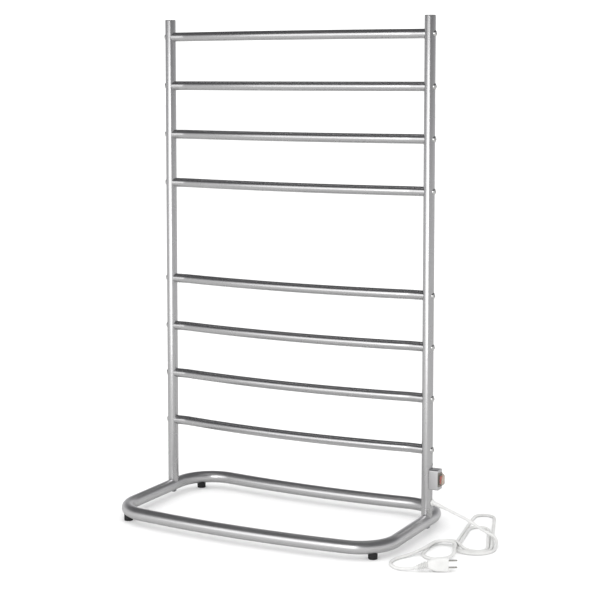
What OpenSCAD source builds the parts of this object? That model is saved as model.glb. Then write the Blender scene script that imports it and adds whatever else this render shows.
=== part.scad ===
// Free-standing electric towel warmer rack: two posts, eight bowed heated rungs, a bent-tube
// base on four rubber feet, an outside rocker switch with a splash cover, and a mains lead.
// Millimetres. Z up, floor at z = 0, the user stands on the -Y side, the switch is on +X.

/* [Posts] */
// Distance between the two post axes
post_gap = 588; // [440:1:760]
// Outer diameter of a post
post_d = 22; // [20:0.5:28]
// Wall of a post
post_wall = 1.2; // [1:0.1:1.5]
// Length of a post above the base tube
post_len = 976; // [780:1:1200]
// Height of the flat end cap above a post
cap_t = 1.6; // [1:0.1:4]

/* [Rungs] */
// Outer diameter of a rung
rung_d = 19; // [17:0.5:20]
// Wall of a rung
rung_wall = 1.2; // [1:0.1:1.4]
// Straight end of a rung, measured from the face of the post
rung_stub = 22; // [18:1:40]
// Radius of the small bend between the straight end and the bow
rung_bend_r = 60; // [40:1:120]
// Radius of the long forward bow of a rung
rung_bow_r = 1650; // [1300:10:3000]
// Height of the bottom rung above the top of the base tube
rung_first = 130; // [126:1:160]
// Distance from the top rung to the end of the post
rung_last = 34; // [22:1:60]
// Number of rungs above the wide gap, out of eight
rungs_above = 4; // [2:1:6]
// Length of the threaded insert in a rung end
insert_len = 18; // [12:1:22]

/* [Rung screws] */
// Thread diameter of the rung screws
screw_d = 5; // [4:0.5:5]
// Head diameter of the rung screws
screw_head_d = 11.5; // [9:0.5:12.5]
// Height of the domed screw head
screw_head_h = 2.2; // [1.6:0.1:3]
// Across-flats size of the hexagon socket
socket_af = 4; // [2.5:0.5:4]

/* [Base] */
// Outer diameter of the base tube
base_d = 25; // [24:0.5:30]
// Wall of the base tube
base_wall = 1.5; // [1.2:0.1:2]
// Distance from the post axis to the front of the base loop
base_front = 240; // [180:1:320]
// Centre line radius of the base corners
base_corner_r = 75; // [55:1:100]
// Radius of the forward bow of the front and back tubes
base_bow_r = 1900; // [1400:10:4000]
// Straight side tube behind each post
base_run = 15; // [8:1:60]
// Thread diameter of the bolts that hold the posts on the base
bolt_d = 8; // [6:1:8]

/* [Feet] */
// Diameter of a rubber foot
foot_d = 18; // [16:0.5:24]
// Height of the base tube above the floor
foot_h = 10; // [8:0.5:16]
// Thread diameter of the foot screws
foot_screw_d = 4; // [3:0.5:5]

/* [Switch] */
// Height of the switch box
box_h = 40; // [38:1:60]
// Width of the switch box, front to back
box_w = 23; // [22.5:0.5:30]
// Distance from the post axis to the face of the switch box
box_reach = 27; // [26.5:0.5:36]
// Wall of the switch box
box_wall = 1.5; // [1:0.1:2]
// Corner radius of the switch box
box_r = 3; // [2.5:0.5:4]
// Height of the middle of the switch above the top of the base tube
switch_up = 73; // [68:1:90]
// Half of the rocker's travel, in degrees
rocker_tilt = 10; // [6:1:12]

/* [Mains lead] */
// Diameter of the mains lead
cord_d = 6; // [5:0.5:7]
// Height of the lead's exit above the top of the base tube
gland_up = 25; // [20:1:30]
// Angle by which the soft sleeve of the gland droops
gland_droop = 18; // [0:1:30]

/* [Heating] */
// Diameter of the silicone heating cable
heater_d = 3.6; // [3:0.1:4]
// Distance of the heating cable behind the middle of the tubes
heater_back = 5.8; // [5.4:0.1:6]

/* [Hidden] */

// Curve quality, and the clearances that every fit shares
$fn = 64;
fit = 0.05;    // radial gap of a screw, pin or insert in its hole
seat = 0.02;   // gap where a shaped end sits on a round tube
slack = 0.1;   // gap round a square piece in a square hole
past = 1;      // how far a cutting shape runs past a face
tiny = 0.01;   // the same for a hollow whose shape must not move

// Bent tubes are built of arcs that share end faces, so their lengths and angles are round
function neat(v) = round(v * 100) / 100;
function neat_angle(a) = round(a * 1000) / 1000;

// Posts stand at x = +-half_gap and y = 0 on the base tube
half_gap = post_gap / 2;
post_r = post_d / 2;
post_id = post_d - 2 * post_wall;
base_z = foot_h + base_d / 2;
post_z0 = foot_h + base_d;
post_z1 = post_z0 + post_len;

// Rungs stand at an even pitch, with one place left empty as the wide gap
rung_count = 8;
rung_pitch = (post_len - rung_first - rung_last) / rung_count;
function rung_z(i) = post_z1 - rung_last - rung_pitch * (i < rungs_above ? i : i + 1);
RUNGS = [0 : rung_count - 1];

// Bow of a rung: straight end, small bend and long arc, all in one level plane
rung_id = rung_d - 2 * rung_wall;
rung_turn = neat_angle(asin((half_gap - post_r - rung_stub) / (rung_bow_r + rung_bend_r)));
rung_half = (rung_bow_r + rung_bend_r) * sin(rung_turn);
rung_sag = (rung_bow_r + rung_bend_r) * (1 - cos(rung_turn));
insert_gap = 0.5;      // from the face of the post to the insert

// Base loop: straight sides, four corners and two long bows
corner_x = half_gap - base_corner_r;
back_corner_y = post_r + base_run;
back_turn = neat_angle(asin(corner_x / (base_bow_r + base_corner_r)));
back_bow_r = corner_x / sin(back_turn) - base_corner_r;
back_centre_y = back_corner_y + (back_bow_r + base_corner_r) * cos(back_turn);
front_turn = neat_angle(asin(corner_x / (base_bow_r - base_corner_r)));
front_bow_r = corner_x / sin(front_turn) + base_corner_r;
side_len = neat(back_corner_y + base_front - front_bow_r
    + (front_bow_r - base_corner_r) * cos(front_turn));
front_corner_y = back_corner_y - side_len;
front_centre_y = front_corner_y + (front_bow_r - base_corner_r) * cos(front_turn);
bolt_head_h = 4;
bolt_head_d = bolt_d + 5;
foot_plug_h = 14;

// Feet: a cup for the tube above, a recess for the screw below
foot_cup = 3.5;
foot_recess = foot_h / 2;
foot_screw_head = 2.4;

// Saddle washers under the domed heads
washer_t = 0.6;
washer_d = screw_head_d + 1;

// Switch: a rocker module snapped into the face of the box
switch_z = post_z0 + switch_up;
box_x = half_gap + box_reach;
box_back = half_gap + 9;
gasket_t = 0.8;
web_x = half_gap + post_r + gasket_t + 1.6;
flange_t = 2;
flange_h = 21;
flange_w = 15;
module_h = 19;
module_w = 13;
module_depth = 11;
well_h = 17;
well_w = 9.4;
well_floor = 1.5;
rocker_w = 9;
rocker_r = 3;
rocker_half = 7.6;
rocker_out = 3.5;
rocker_dip = 2.6;
rocker_x = box_x + 0.2;
pivot_d = 2;
pivot_len = module_w - 2;
lamp_x = box_x - 5.5;
lamp_d = 3;
tab_w = 4.8;
tab_t = 0.8;
tab_step = 5.2;
tab_len = 6;
wire_hole_d = 14;
box_screw_d = 3;
box_screw_up = box_h / 2 - box_wall - 4.2;

// Clear cover over the rocker
cover_t = 1.1;
cover_h = 27;
cover_w = 20;
cover_rim = 2;
cover_reach = 8.5;
cover_taper = 9;

// Clip for the wiring, just above the box
clip_z = switch_z + box_h / 2 + 8;
clip_w = 8;
clip_t = 3.4;
clip_screw_d = 3;

// Wiring inside the posts and the rungs
heater_turn = 8;                                  // radius of the cable where it enters a rung
cutout_grip = 7;                                  // length of cable inside the cut-out
cutout_z = rung_z(rung_count - 1) - heater_turn - cutout_grip;
cutout_len = 16;
cutout_d = 5;
wire_d = 2.4;
crimp_d = 4.6;
crimp_len = 8;
top_crimp_z = rung_z(0) + heater_turn;

// Mains lead where it leaves the post
gland_z = post_z0 + gland_up;
gland_hole_d = 11;
gland_flange_d = 14.5;
gland_face = half_gap + post_r + 2.5;
gland_lip_x = half_gap + 5;
crimp_z = gland_z + 12;
sleeve_len = 20;
sleeve_root = 3;       // how far the sleeve starts inside the flange
sleeve_d0 = cord_d + 4;
sleeve_d1 = cord_d + 1.6;
sleeve_end = [gland_face + sleeve_len * cos(gland_droop), 0,
    gland_z - sleeve_len * sin(gland_droop)];

// Mains lead along its route, in round numbers from the middle between the posts
LEAD = [[343, 0, 48.5], [359, 0, 43], [375, 1, 37], [391, 1, 30], [406, 2, 22.5],
    [420, 2, 15], [432, 1, 9.5]];
TAIL = [[343, -122, 9.1], [340, -138, 9], [334, -154, 6], [324, -168, 3.5], [315, -183, 3],
    [311, -200, 3], [312, -217, 3], [320, -233, 3], [333, -244, 3], [348, -248, 3.2],
    [361, -245, 4.6]];

// Loops of lead on the floor: the middle and bend radius of the two ends of each loop
LONG_LOOP = [[364, 136, 18], [418, -62, 39]];
SHORT_LOOP = [[366, -86, 29], [374, -134, 29]];
hank_t = 2 * cord_d + 0.6;

// Plug, lying on its side with the blades one above the other
PLUG_MID = [407, -217];
plug_yaw = 32;
plug_len = 38;
plug_h = 26;
plug_t = 17;
plug_neck = 13;
relief_len = 24;
relief_droop = 14;
relief_d0 = 11;
blade_len = 17;
blade_w = 6.3;
blade_t = 1.5;
blade_step = 12.7;
blade_root = 8;

// Box of the rack without its lead: the origin is under its middle
reach_left = half_gap + max(base_d / 2, post_r + washer_t + screw_head_h);
reach_right = box_x + cover_reach;
reach_front = base_front + base_d / 2;
reach_back = back_corner_y + base_corner_r + base_d / 2;
rack_x = (reach_left - reach_right) / 2;
rack_y = (reach_front - reach_back) / 2;

// ---------------------------------------------------------------- helpers

// Moves the rack so that the origin is under the middle of its box
module rack() {
    translate([rack_x, rack_y, 0]) children();
}

// Round bar along +X
module x_rod(d, len) {
    rotate([0, 90, 0]) cylinder(d = d, h = len);
}

// Round bar along Y, centred
module y_rod(d, len) {
    rotate([90, 0, 0]) cylinder(d = d, h = len, center = true);
}

// Moves a piece by whole millimetres, then by the rest in finer steps, which keeps every digit
module at(v) {
    whole = [for (c = v) floor(c)];
    rest = [for (c = v - whole) floor(c * 1000) / 1000];
    translate(whole) translate(rest) translate(v - whole - rest) children();
}

// Solid arc of round bar, lying level, from angle a0 over a sweep
module ring_part(r, d, a0, sweep) {
    rotate([0, 0, a0])
        rotate_extrude(angle = sweep, $fn = max(96, ceil(360 / sweep * 8)))
            at([r, 0, 0]) circle(d = d, $fn = 48);
}

// Rounded rectangle in the plane
module rounded(w, h, r) {
    square([w - 2 * r, h], center = true);
    square([w, h - 2 * r], center = true);
    for (sx = [-1, 1], sy = [-1, 1])
        translate([sx * (w / 2 - r), sy * (h / 2 - r)]) circle(r = r, $fn = 32);
}

// Block running along +X, w across Y and h up Z, with rounded long edges
module x_block(w, h, r, len) {
    rotate([90, 0, 90]) linear_extrude(len) rounded(w, h, r);
}

// A piece drawn on the left, or its mirror image on the right
module on_side(side) {
    if (side > 0) mirror([1, 0, 0]) children();
    else children();
}

// Low dome for a screw head, flat side down
module dome(d, h) {
    r = (d * d / 4 + h * h) / (2 * h);
    intersection() {
        translate([0, 0, h - r]) sphere(r);
        cylinder(d = d, h = h);
    }
}

// Solid bar the shape of the post, for seats that fit round it
module post_space(side, gap) {
    translate([side * half_gap, 0, post_z0]) cylinder(d = post_d + 2 * gap, h = post_len);
}

// Round tube swept along points; up is a direction that the path never takes
function unit(v) = v / norm(v);
function ahead(p, i) = unit(p[min(i + 1, len(p) - 1)] - p[max(i - 1, 0)]);
function ring(c, t, up, r, n) =
    let (side = unit(cross(up, t)), top = cross(t, side))
    [for (k = [0 : n - 1]) c + r * (cos(360 * k / n) * side + sin(360 * k / n) * top)];

module swept(p, d, up, n) {
    last = len(p) - 1;
    pts = [for (i = [0 : last]) each ring(p[i], ahead(p, i), up, d / 2, n)];
    walls = [for (i = [0 : last - 1], k = [0 : n - 1])
        let (a = i * n + k, b = i * n + (k + 1) % n) each [[a, a + n, b + n], [a, b + n, b]]];
    start = [for (k = [0 : n - 1]) k];
    stop = [for (k = [n - 1 : -1 : 0]) last * n + k];
    polyhedron(pts, concat([start, stop], walls));
}

// ---------------------------------------------------------------- posts

// Post with its foot shaped to the base tube, and holes for the rung screws and the cable
module post_tube() {
    difference() {
        translate([-half_gap, 0, base_z]) cylinder(d = post_d, h = post_z1 - base_z);
        translate([-half_gap, 0, base_z - past])
            cylinder(d = post_id, h = post_z1 - base_z + 2 * past);
        translate([-half_gap, 0, base_z]) y_rod(base_d + 2 * seat, 2 * post_d);
        for (i = RUNGS) {
            translate([-half_gap - post_r - past, 0, rung_z(i)])
                x_rod(screw_d + 2 * fit, post_d + 2 * past);
            translate([-half_gap + past, heater_back, rung_z(i)]) x_rod(heater_d + 1, post_r);
        }
    }
}

module left_post() {
    color("silver") rack() post_tube();
}

module right_post() {
    color("silver") rack() difference() {
        on_side(1) post_tube();
        translate([half_gap + past, 0, switch_z]) x_rod(wire_hole_d, post_r);
        translate([half_gap + past, 0, gland_z]) x_rod(gland_hole_d, post_r);
        translate([half_gap + past, 0, clip_z]) x_rod(clip_screw_d + 2 * fit, post_r);
        for (s = [-1, 1])
            translate([half_gap + past, 0, switch_z + s * box_screw_up])
                x_rod(box_screw_d + 2 * fit, post_r);
    }
}

// Flat cap with a plug that pushes into the post
module post_cap(side) {
    edge = 0.4;
    plug = 8;
    color("gainsboro") rack() translate([side * half_gap, 0, post_z1]) rotate_extrude()
        polygon([[0, -plug], [post_id / 2 - fit, -plug], [post_id / 2 - fit, 0], [post_r, 0],
            [post_r, cap_t - edge], [post_r - edge, cap_t], [0, cap_t]]);
}

module left_post_cap() {
    post_cap(-1);
}

module right_post_cap() {
    post_cap(1);
}

// ---------------------------------------------------------------- rungs

// Solid bar along the line of a rung, from post axis to post axis
module rung_bar(d) {
    for (side = [-1, 1]) on_side(-side) {
        at([rung_half, 0, 0]) x_rod(d, half_gap - rung_half);
        at([rung_half, -rung_bend_r, 0]) ring_part(rung_bend_r, d, 90, rung_turn);
        at([0, rung_bow_r - rung_sag, 0]) ring_part(rung_bow_r, d, 270, rung_turn);
    }
}

// Hollow rung whose ends are shaped to sit on the posts
module rung(i) {
    color("silver") rack() difference() {
        translate([0, 0, rung_z(i)]) difference() {
            rung_bar(rung_d);
            rung_bar(rung_id);
        }
        post_space(-1, seat);
        post_space(1, seat);
    }
}

// Threaded insert in the end of each rung, with a notch that lets the cable by
module rung_inserts(side) {
    color("darkgray") rack() on_side(side)
        for (i = RUNGS) translate([-half_gap + post_r + insert_gap, 0, rung_z(i)]) difference() {
            x_rod(rung_id - 2 * fit, insert_len);
            translate([-past, 0, 0]) x_rod(screw_d + 2 * fit, insert_len + 2 * past);
            translate([-past, heater_back, 0]) x_rod(heater_d + 1, insert_len + 2 * past);
            translate([-past, heater_back, -(heater_d + 1) / 2])
                cube([insert_len + 2 * past, rung_id / 2, heater_d + 1]);
        }
}

module left_rung_inserts() {
    rung_inserts(-1);
}

module right_rung_inserts() {
    rung_inserts(1);
}

// Washers that turn the round post into a flat seat for the screw heads
module saddle_washers(side) {
    skirt = 1.6;
    color("silver") rack() on_side(side) difference() {
        for (i = RUNGS) translate([-half_gap - post_r - washer_t, 0, rung_z(i)]) difference() {
            x_rod(washer_d, washer_t + skirt);
            translate([-past, 0, 0]) x_rod(screw_d + 2 * fit, washer_t + skirt + 2 * past);
        }
        post_space(-1, seat);
    }
}

module left_saddle_washers() {
    saddle_washers(-1);
}

module right_saddle_washers() {
    saddle_washers(1);
}

// Domed socket screws that pull the rungs against the posts
module rung_screws(side) {
    grip = insert_len - 4;
    color("silver") rack() on_side(side)
        for (i = RUNGS) translate([-half_gap - post_r - washer_t, 0, rung_z(i)]) difference() {
            union() {
                rotate([0, -90, 0]) dome(screw_head_d, screw_head_h);
                x_rod(screw_d, washer_t + post_d + insert_gap + grip);
            }
            translate([-screw_head_h - past, 0, 0]) rotate([0, 90, 0])
                cylinder(d = socket_af / cos(30), h = past + screw_head_h * 0.8, $fn = 6);
        }
}

module left_rung_screws() {
    rung_screws(-1);
}

module right_rung_screws() {
    rung_screws(1);
}

// ---------------------------------------------------------------- base

// Solid bar along the closed loop of the base
module base_bar(d) {
    translate([0, 0, base_z]) for (side = [-1, 1]) on_side(-side) {
        at([half_gap, back_corner_y, 0]) rotate([90, 0, 0]) cylinder(d = d, h = side_len);
        at([corner_x, back_corner_y, 0]) ring_part(base_corner_r, d, 0, 90 + back_turn);
        at([corner_x, front_corner_y, 0]) mirror([0, 1, 0])
            ring_part(base_corner_r, d, 0, 90 - front_turn);
        at([0, back_centre_y, 0]) ring_part(back_bow_r, d, 270, back_turn);
        at([0, front_centre_y, 0]) ring_part(front_bow_r, d, 270, front_turn);
    }
}

// Middle of a foot: the corner of the loop, half way round its bend
function foot_place(sx, sy) = [
    sx * (corner_x + base_corner_r * cos(45)),
    (sy > 0 ? back_corner_y : front_corner_y) + sy * base_corner_r * sin(45)];

module base_frame() {
    color("silver") rack() difference() {
        base_bar(base_d);
        base_bar(base_d - 2 * base_wall);
        for (side = [-1, 1])
            translate([side * half_gap, 0, foot_h - past])
                cylinder(d = bolt_d + 2 * fit, h = base_d + 2 * past);
        for (sx = [-1, 1], sy = [-1, 1])
            translate(concat(foot_place(sx, sy), foot_h - past))
                cylinder(d = foot_screw_d + 2 * fit, h = base_d / 2);
    }
}

// Threaded plug in the foot of a post
module foot_plug(side) {
    color("darkgray") rack() translate([side * half_gap, 0, post_z0 + past]) difference() {
        cylinder(d = post_id - 2 * fit, h = foot_plug_h);
        translate([0, 0, -past]) cylinder(d = bolt_d + 2 * fit, h = foot_plug_h + 2 * past);
    }
}

module left_foot_plug() {
    foot_plug(-1);
}

module right_foot_plug() {
    foot_plug(1);
}

// Bolt up through the base tube into the foot of a post
module base_bolt(side) {
    color("dimgray") rack() translate([side * half_gap, 0, foot_h]) difference() {
        union() {
            rotate([180, 0, 0]) dome(bolt_head_d, bolt_head_h);
            cylinder(d = bolt_d, h = base_d + foot_plug_h - past);
        }
        translate([0, 0, -bolt_head_h - past])
            cylinder(d = 0.6 * bolt_d / cos(30), h = past + 0.8 * bolt_head_h, $fn = 6);
    }
}

module left_base_bolt() {
    base_bolt(-1);
}

module right_base_bolt() {
    base_bolt(1);
}

// Rubber foot, cupped to the bend of the base tube
module foot(sx, sy) {
    edge = 1;
    color("#1a1a1a") rack() difference() {
        translate(concat(foot_place(sx, sy), 0)) difference() {
            union() {
                cylinder(d1 = foot_d - 2 * edge, d2 = foot_d, h = edge);
                translate([0, 0, edge]) cylinder(d = foot_d, h = foot_h + foot_cup - edge);
            }
            translate([0, 0, -past]) cylinder(d = 2.4 * foot_screw_d, h = foot_recess + past);
            cylinder(d = foot_screw_d + 2 * fit, h = foot_h + foot_cup + past);
        }
        translate([sx * corner_x, sy > 0 ? back_corner_y : front_corner_y, base_z])
            rotate_extrude($fn = 96)
                translate([base_corner_r, 0]) circle(d = base_d + 2 * seat, $fn = 48);
    }
}

module foot_front_left() {
    foot(-1, -1);
}

module foot_front_right() {
    foot(1, -1);
}

module foot_back_left() {
    foot(-1, 1);
}

module foot_back_right() {
    foot(1, 1);
}

// Pan-head screws that hold the feet
module foot_screws() {
    color("dimgray") rack() for (sx = [-1, 1], sy = [-1, 1])
        translate(concat(foot_place(sx, sy), foot_recess)) {
            translate([0, 0, -foot_screw_head]) cylinder(d = 2 * foot_screw_d, h = foot_screw_head);
            cylinder(d = foot_screw_d, h = foot_h - foot_recess + base_wall + 4);
        }
}

// ---------------------------------------------------------------- switch

// Solid space that the saddle of the box leaves for the post, with a gap round it
module box_saddle(gap) {
    translate([half_gap, 0, switch_z]) cylinder(d = post_d + 2 * gap, h = 2 * box_h, center = true);
}

module switch_housing() {
    color("silver") rack() difference() {
        translate([box_back, 0, switch_z]) x_block(box_w, box_h, box_r, box_x - box_back);
        translate([web_x, 0, switch_z])
            x_block(box_w - 2 * box_wall, box_h - 2 * box_wall, box_r - box_wall / 2,
                box_x - box_wall - web_x);
        translate([web_x, 0, switch_z])
            x_block(module_w + 2 * slack, module_h + 2 * slack, 0.5, box_reach);
        translate([half_gap, 0, switch_z]) x_rod(wire_hole_d, box_reach - box_wall - past);
        for (s = [-1, 1])
            translate([half_gap, 0, switch_z + s * box_screw_up])
                x_rod(box_screw_d + 2 * fit, box_reach - box_wall - past);
        box_saddle(gasket_t + seat);
    }
}

// Thin rubber seal between the box and the post
module switch_gasket() {
    inset = 1;
    color("#222222") rack() difference() {
        intersection() {
            translate([box_back, 0, switch_z])
                x_block(box_w - 2 * inset, box_h - 2 * inset, box_r, box_reach);
            box_saddle(gasket_t);
        }
        box_saddle(seat);
        translate([half_gap, 0, switch_z]) x_rod(wire_hole_d, box_reach);
        for (s = [-1, 1])
            translate([half_gap, 0, switch_z + s * box_screw_up])
                x_rod(box_screw_d + 2 * fit, box_reach);
    }
}

module switch_housing_screws() {
    head_h = 1.6;
    color("silver") rack() for (s = [-1, 1])
        translate([web_x, 0, switch_z + s * box_screw_up]) {
            x_rod(1.8 * box_screw_d, head_h);
            translate([half_gap + post_id / 2 - 2 - web_x, 0, 0])
                x_rod(box_screw_d, web_x - half_gap - post_id / 2 + 2);
        }
}

// Black rocker module: flange outside the box, hollow body inside
module switch_body() {
    color("#181818") rack() translate([0, 0, switch_z]) difference() {
        union() {
            translate([box_x, 0, 0]) x_block(flange_w, flange_h, 1.5, flange_t);
            translate([box_x - module_depth, 0, 0]) x_block(module_w, module_h, 0.5, module_depth);
        }
        translate([box_x - module_depth + well_floor, 0, 0])
            x_block(well_w, well_h, 0.5, module_depth + flange_t);
        translate([rocker_x, 0, 0]) y_rod(pivot_d + 2 * seat, pivot_len + 2 * slack);
        for (k = [-1, 0, 1])
            translate([box_x - module_depth - past, 0, k * tab_step])
                x_block(tab_w + 2 * slack, tab_t + 2 * slack, slack, well_floor + 2 * past);
    }
}

// Red rocker, drawn switched off: its top stands out
module switch_rocker() {
    color("red") rack() translate([rocker_x, 0, switch_z]) rotate([0, rocker_tilt, 0])
        rotate([90, 0, 0]) linear_extrude(rocker_w, center = true) difference() {
            union() {
                circle(rocker_r);
                polygon([[rocker_dip, 0], [rocker_out, rocker_half], [-0.5, rocker_half],
                    [-2.2, 3.4], [-2.2, -3.4], [-0.5, -rocker_half], [rocker_out, -rocker_half]]);
            }
            circle(d = pivot_d + 2 * fit);
        }
}

module rocker_pivot() {
    color("silver") rack() translate([rocker_x, 0, switch_z]) y_rod(pivot_d, pivot_len);
}

// Neon lamp lying behind the rocker, on its two wires
module indicator_lamp() {
    color("orange") rack() translate([lamp_x, 0, switch_z]) {
        cylinder(d = lamp_d, h = 9, center = true);
        for (s = [-1, 1])
            translate([box_x - module_depth + well_floor - lamp_x, 0, 2.6 * s])
                x_rod(0.6, lamp_x - (box_x - module_depth + well_floor));
    }
}

module switch_terminals() {
    color("gold") rack() for (k = [-1, 0, 1])
        translate([box_x - module_depth - tab_len, 0, switch_z + k * tab_step])
            x_block(tab_w, tab_t, 0.2, tab_len + well_floor);
}

// Outside of the splash cover, or its inside when drawn smaller by a wall
module cover_form(t) {
    hull() {
        x_block(cover_w - 2 * t, cover_h - 2 * t, 4 - t, cover_rim);
        x_block(cover_w - cover_taper - 2 * t, cover_h - cover_taper - 2 * t, 4 - t, cover_reach - t);
    }
}

module splash_cover() {
    color("bisque", 0.5) rack() translate([box_x, 0, switch_z]) difference() {
        cover_form(0);
        translate([-tiny, 0, 0]) cover_form(cover_t);
    }
}

// ---------------------------------------------------------------- fittings on the right post

// Plastic block inside the post that the wiring is tied to
module wiring_clip() {
    color("ivory") rack() difference() {
        intersection() {
            translate([half_gap, 0, clip_z - clip_w / 2]) cylinder(d = post_id - 2 * fit, h = clip_w);
            translate([half_gap + post_id / 2 - clip_t, -clip_w / 2, clip_z - clip_w])
                cube(2 * clip_w);
        }
        translate([half_gap, 0, clip_z]) x_rod(clip_screw_d + 2 * fit, post_d);
        translate([half_gap, clip_w / 2, clip_z - clip_w]) cube(2 * clip_w);
    }
}

module wiring_clip_screw() {
    head_x = half_gap + post_r - 0.6;
    color("silver") rack() {
        difference() {
            translate([head_x, 0, clip_z]) rotate([0, 90, 0]) dome(5.6, 2.1);
            translate([half_gap, 0, clip_z])
                cylinder(d = post_d + 2 * seat, h = 2 * clip_w, center = true);
        }
        translate([head_x - clip_t, 0, clip_z]) x_rod(clip_screw_d, clip_t + 1.2);
    }
}

// White gland moulded on the lead: flange, lip inside the post and drooping sleeve
module cord_gland() {
    color("white") rack() {
        translate([0, 0, gland_z]) difference() {
            translate([half_gap + 8, 0, 0]) x_rod(gland_flange_d, gland_face - half_gap - 8);
            translate([half_gap, 0, 0])
                cylinder(d = post_d + 2 * seat, h = 2 * gland_flange_d, center = true);
        }
        translate([half_gap + 7, 0, gland_z]) x_rod(gland_hole_d - 2 * fit, post_r - 6);
        intersection() {
            translate([gland_lip_x, 0, gland_z]) x_rod(gland_hole_d + 2, post_r);
            translate([half_gap, 0, gland_z])
                cylinder(d = post_id - 2 * fit, h = 2 * gland_flange_d, center = true);
        }
        translate([gland_face, 0, gland_z]) rotate([0, 90 + gland_droop, 0])
            translate([0, 0, -sleeve_root])
                cylinder(d1 = sleeve_d0, d2 = sleeve_d1, h = sleeve_root + sleeve_len);
    }
}

// ---------------------------------------------------------------- heating and wiring

// How far the middle of a rung is from the line between the posts
function bow_y(x) =
    let (ax = abs(x), arc_x = rung_bow_r * sin(rung_turn))
    ax >= rung_half ? 0
    : ax > arc_x ? sqrt(pow(rung_bend_r, 2) - pow(rung_half - ax, 2)) - rung_bend_r
    : rung_bow_r - rung_sag - sqrt(rung_bow_r * rung_bow_r - x * x);

// The cable's way through one rung, towards dir, from and to the upright runs in the posts
function rung_way(i, dir) = concat(
    [for (a = [0 : 30 : 90])
        [-dir * (half_gap - heater_turn * (1 - cos(a))), heater_back,
            rung_z(i) - heater_turn * (1 - sin(a))]],
    [for (u = [-1 : 0.2 : 1])
        [dir * u * rung_half, heater_back + bow_y(u * rung_half), rung_z(i)]],
    [for (a = [0 : 30 : 90])
        [dir * (half_gap - heater_turn * (1 - sin(a))), heater_back,
            rung_z(i) + heater_turn * (1 - cos(a))]]);

// One silicone heating cable that climbs through every rung in turn
module heating_cable() {
    way = [for (i = [rung_count - 1 : -1 : 0]) each rung_way(i, i % 2 == 0 ? 1 : -1)];
    color("firebrick") rack() swept(way, heater_d, [0, 1, 0], 6);
}

// Neutral wire from the top end of the cable back down the right post
module return_wire() {
    top = top_crimp_z + crimp_len;
    color("royalblue") rack() swept([
        [half_gap, heater_back, top], [half_gap, 0.75 * heater_back, top + 4], [half_gap, 0, top + 6],
        [half_gap, -0.75 * heater_back, top + 4], [half_gap, -heater_back, top],
        [half_gap, -heater_back, crimp_z + crimp_len]], wire_d, [1, 0, 0], 8);
}

// Thermal cut-out in the live side, at the bottom end of the cable
module thermal_cutout() {
    color("white") rack() translate([half_gap, heater_back, cutout_z - cutout_len])
        cylinder(d = cutout_d, h = cutout_len + cutout_grip);
}

module wire_crimps() {
    color("gold") rack() {
        translate([half_gap, heater_back, top_crimp_z]) cylinder(d = crimp_d, h = crimp_len);
        translate([half_gap, -heater_back, crimp_z]) cylinder(d = crimp_d, h = crimp_len);
    }
}

// Wires between the lead, the switch, the cut-out and the neutral crimp
module supply_wires() {
    x = half_gap;
    z = switch_z;
    tab_x = box_x - module_depth - tab_len;
    color("saddlebrown") rack() {
        swept([[gland_lip_x, 2, gland_z], [x + 2, 2.2, gland_z + 3], [x + 1, 2.4, gland_z + 10],
            [x + 1, 2.4, z - 12], [x + 3, 2, z - 7], [tab_x - 2, 1, z - tab_step],
            [tab_x, 1, z - tab_step]], 1.8, [0, 1, 0], 8);
        swept([[tab_x, 1, z], [tab_x - 2, 1, z], [x + 4, 3, z + 3], [x + 1, heater_back - 1, z + 9],
            [x, heater_back, z + 14], [x, heater_back, cutout_z - cutout_len]], 1.8, [0, 1, 0], 8);
        swept([[gland_lip_x, -2, gland_z], [x + 2, -3, gland_z + 3], [x, -heater_back, gland_z + 9],
            [x, -heater_back, crimp_z]], 1.8, [0, 1, 0], 8);
        swept([[tab_x, -1, z + tab_step], [tab_x - 2, -1, z + tab_step], [x + 3, -1.6, z + 3],
            [x + 1.5, -2.2, z - 6], [x, -3.4, crimp_z + crimp_len + 6], [x, -3.8, crimp_z + crimp_len]],
            1.4, [0, 1, 0], 8);
    }
}

// ---------------------------------------------------------------- mains lead

module power_cord_lead() {
    color("white") rack() swept(concat([sleeve_end], LEAD), cord_d, [0, 0, 1], 10);
}

// Outline of a loop of lead that runs round two ends, each given as [x, y, bend radius]
function loop_end(e, from, sweep) =
    [for (k = [0 : 10]) let (t = from + sweep * k / 10)
        [e.x, e.y] + (e.z + cord_d / 2) * [cos(t), sin(t)]];
function loop_line(a, b) =
    let (face = atan2(b.y - a.y, b.x - a.x), lean = acos((a.z - b.z) / norm([b.x - a.x, b.y - a.y])))
    concat(loop_end(a, face + lean, 360 - 2 * lean), loop_end(b, face - lean, 2 * lean));

// Space that the two loops of lead fill where they lie on the floor
module cord_hank() {
    color("white") rack() linear_extrude(hank_t)
        for (ends = [LONG_LOOP, SHORT_LOOP]) polygon(loop_line(ends[0], ends[1]));
}

// Moves a piece of the plug to where the plug lies
module at_plug() {
    translate(concat(PLUG_MID, plug_h / 2)) rotate([0, 0, plug_yaw]) children();
}

// Where the strain relief lets the lead out
relief_end = [-plug_len / 2 - relief_len * cos(relief_droop), 0, -relief_len * sin(relief_droop)];
tail_end = concat(PLUG_MID, plug_h / 2)
    + [relief_end.x * cos(plug_yaw), relief_end.x * sin(plug_yaw), relief_end.z];

module power_cord_tail() {
    color("white") rack() swept(concat(TAIL, [tail_end]), cord_d, [0, 0, 1], 10);
}

module plug_strain_relief() {
    color("white") rack() at_plug() translate([-plug_len / 2, 0, 0]) rotate([0, -90 - relief_droop, 0])
        cylinder(d1 = relief_d0, d2 = cord_d + 1.6, h = relief_len);
}

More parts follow.
